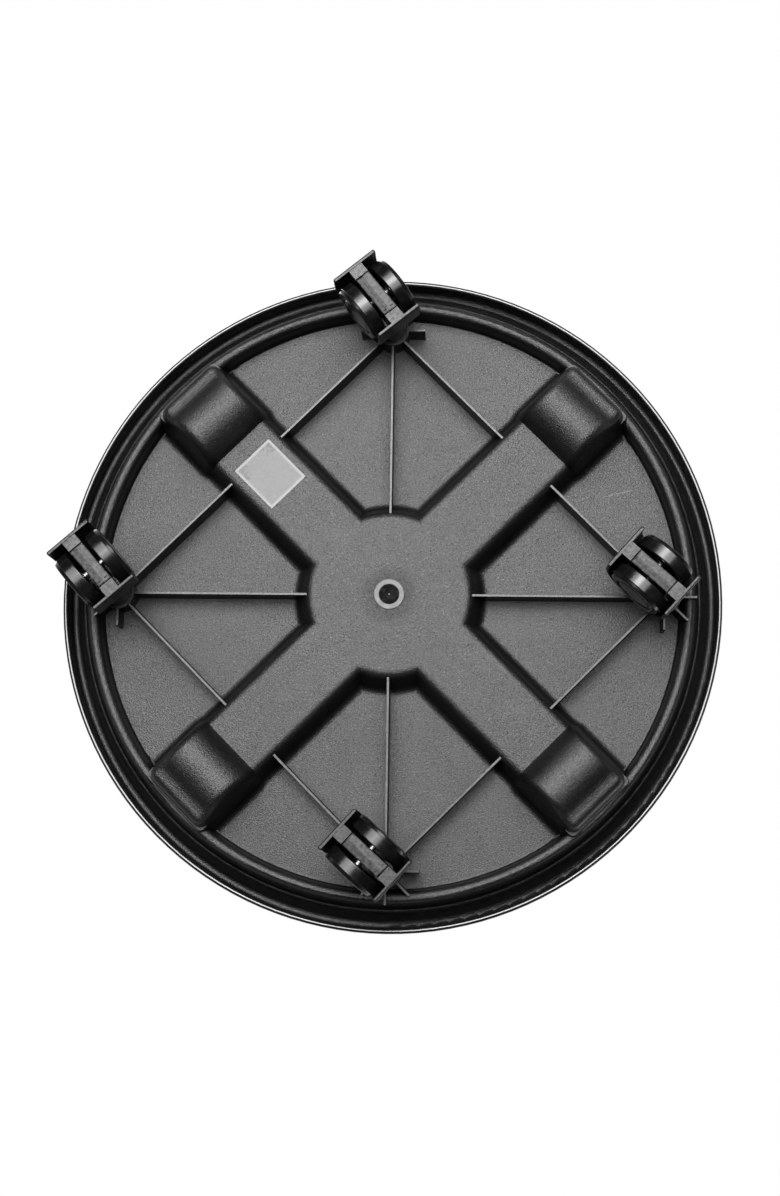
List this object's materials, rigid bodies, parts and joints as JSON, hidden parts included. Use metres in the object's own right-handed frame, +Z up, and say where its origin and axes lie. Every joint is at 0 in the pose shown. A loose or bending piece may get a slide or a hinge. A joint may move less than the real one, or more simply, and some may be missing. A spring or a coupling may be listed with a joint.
{
  "type": "rolling plant pot caddy",
  "caption": "Round moulded plant-pot caddy with a ribbed underside, cross-shaped water channels, a drain plug and hooded twin-wheel swivel casters.",
  "frame": {"origin": "on the ground, under the hub's centre, which is the centre of the round tray", "axes": "+Z up from the ground to the open side of the tray; +X towards the east caster's socket and +Y towards the south caster's socket, with the arms of the cross on the diagonals between them; seen from below, +X is right and +Y is down"},
  "size_m": [0.45, 0.4501, 0.092],
  "materials": {
    "tray_plastic": "fine sand texture, satin black",
    "hood_plastic": "smooth satin black",
    "keeper_plastic": "rough charcoal black",
    "wheel_plastic": "polished black",
    "sleeve_plastic": "smooth satin black",
    "steel": "bright zinc plate",
    "pale_plastic": "translucent grey",
    "plug_rubber": "matte black",
    "label_film": "blank frosted film"
  },
  "bodies": {
    "base": {"tray_rim": "tray_plastic", "southeast_floor": "tray_plastic", "southwest_floor": "tray_plastic", "northwest_floor": "tray_plastic", "northeast_floor": "tray_plastic", "east_ribs": "tray_plastic", "south_ribs": "tray_plastic", "west_ribs": "tray_plastic", "north_ribs": "tray_plastic", "drain_grommet": "pale_plastic", "label": "label_film", "east_stem": "steel", "east_grip_ring": "steel", "east_socket_sleeve": "sleeve_plastic", "south_stem": "steel", "south_grip_ring": "steel", "south_socket_sleeve": "sleeve_plastic", "west_stem": "steel", "west_grip_ring": "steel", "west_socket_sleeve": "sleeve_plastic", "north_stem": "steel", "north_grip_ring": "steel", "north_socket_sleeve": "sleeve_plastic"},
    "plug": {"drain_plug": "plug_rubber"},
    "east_swivel": {"east_hood": "hood_plastic", "east_axle_keeper": "keeper_plastic", "east_axle": "steel"},
    "east_left": {"east_wheel_left": "wheel_plastic"},
    "east_right": {"east_wheel_right": "wheel_plastic"},
    "south_swivel": {"south_hood": "hood_plastic", "south_axle_keeper": "keeper_plastic", "south_axle": "steel"},
    "south_left": {"south_wheel_left": "wheel_plastic"},
    "south_right": {"south_wheel_right": "wheel_plastic"},
    "west_swivel": {"west_hood": "hood_plastic", "west_axle_keeper": "keeper_plastic", "west_axle": "steel"},
    "west_left": {"west_wheel_left": "wheel_plastic"},
    "west_right": {"west_wheel_right": "wheel_plastic"},
    "north_swivel": {"north_hood": "hood_plastic", "north_axle_keeper": "keeper_plastic", "north_axle": "steel"},
    "north_left": {"north_wheel_left": "wheel_plastic"},
    "north_right": {"north_wheel_right": "wheel_plastic"}
  },
  "joints": [
    {"name": "east_swivel_turn", "type": "hinge", "parent": "base", "child": "east_swivel", "pos_m": [0.1835, 0, 0.045], "axis": [0, 0, 1], "continuous": true},
    {"name": "east_left_roll", "type": "hinge", "parent": "east_swivel", "child": "east_left", "pos_m": [0.17228, -0.00996, 0.02], "axis": [-0.6639, 0.7478, 0], "continuous": true},
    {"name": "east_right_roll", "type": "hinge", "parent": "east_swivel", "child": "east_right", "pos_m": [0.17228, -0.00996, 0.02], "axis": [-0.6639, 0.7478, 0], "continuous": true},
    {"name": "south_swivel_turn", "type": "hinge", "parent": "base", "child": "south_swivel", "pos_m": [0, 0.1835, 0.045], "axis": [0, 0, 1], "continuous": true},
    {"name": "south_left_roll", "type": "hinge", "parent": "south_swivel", "child": "south_left", "pos_m": [-0.01115, 0.17346, 0.02], "axis": [-0.6691, 0.7431, 0], "continuous": true},
    {"name": "south_right_roll", "type": "hinge", "parent": "south_swivel", "child": "south_right", "pos_m": [-0.01115, 0.17346, 0.02], "axis": [-0.6691, 0.7431, 0], "continuous": true},
    {"name": "west_swivel_turn", "type": "hinge", "parent": "base", "child": "west_swivel", "pos_m": [-0.1835, 0, 0.045], "axis": [0, 0, 1], "continuous": true},
    {"name": "west_left_roll", "type": "hinge", "parent": "west_swivel", "child": "west_left", "pos_m": [-0.19342, -0.01125, 0.02], "axis": [-0.7501, 0.6613, 0], "continuous": true},
    {"name": "west_right_roll", "type": "hinge", "parent": "west_swivel", "child": "west_right", "pos_m": [-0.19342, -0.01125, 0.02], "axis": [-0.7501, 0.6613, 0], "continuous": true},
    {"name": "north_swivel_turn", "type": "hinge", "parent": "base", "child": "north_swivel", "pos_m": [0, -0.1835, 0.045], "axis": [0, 0, 1], "continuous": true},
    {"name": "north_left_roll", "type": "hinge", "parent": "north_swivel", "child": "north_left", "pos_m": [-0.00944, -0.19516, 0.02], "axis": [-0.7771, 0.6293, 0], "continuous": true},
    {"name": "north_right_roll", "type": "hinge", "parent": "north_swivel", "child": "north_right", "pos_m": [-0.00944, -0.19516, 0.02], "axis": [-0.7771, 0.6293, 0], "continuous": true},
    {"name": "plug_lift", "type": "slide", "parent": "base", "child": "plug", "axis": [0, 0, 1], "range_m": [0, 0.012]}
  ]
}
